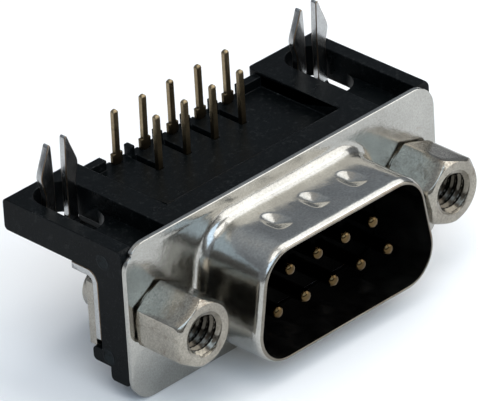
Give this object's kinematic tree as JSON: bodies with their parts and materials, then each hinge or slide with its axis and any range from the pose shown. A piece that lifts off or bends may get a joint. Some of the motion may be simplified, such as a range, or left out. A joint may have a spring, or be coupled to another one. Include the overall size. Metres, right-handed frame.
{
  "type": "d-sub connector",
  "caption": "Right-angle D-shaped plug for a circuit board: metal shell with mating pins, black bracket with boardlock forks, solder tails and hex screwlocks.",
  "frame": {"origin": "centre of the D at the flange's front face", "axes": "-Y points out of the D towards the mating cable plug, +X runs along the contact rows to the right as seen from the front, +Z points to the circuit board, along the solder tails"},
  "size_m": [0.0308, 0.0182, 0.0166],
  "materials": {
    "shell_metal": "bright nickel plate on drawn steel",
    "insulator_plastic": "black moulded plastic",
    "bracket_plastic": "satin black glass-filled plastic",
    "contact_metal": "gold-flashed copper alloy",
    "strap_metal": "satin tin plate",
    "nut_metal": "dull tin plate",
    "screwlock_metal": "nickel plate on turned brass"
  },
  "bodies": {
    "root": {"front_shell": "shell_metal", "front_insulator": "insulator_plastic", "bracket": "bracket_plastic", "contact_1": "contact_metal", "contact_2": "contact_metal", "contact_3": "contact_metal", "contact_4": "contact_metal", "contact_5": "contact_metal", "contact_6": "contact_metal", "contact_7": "contact_metal", "contact_8": "contact_metal", "contact_9": "contact_metal", "strap_left": "strap_metal", "strap_right": "strap_metal", "nut_left": "nut_metal", "nut_right": "nut_metal", "screwlock_left": "screwlock_metal", "screwlock_right": "screwlock_metal"}
  },
  "joints": []
}
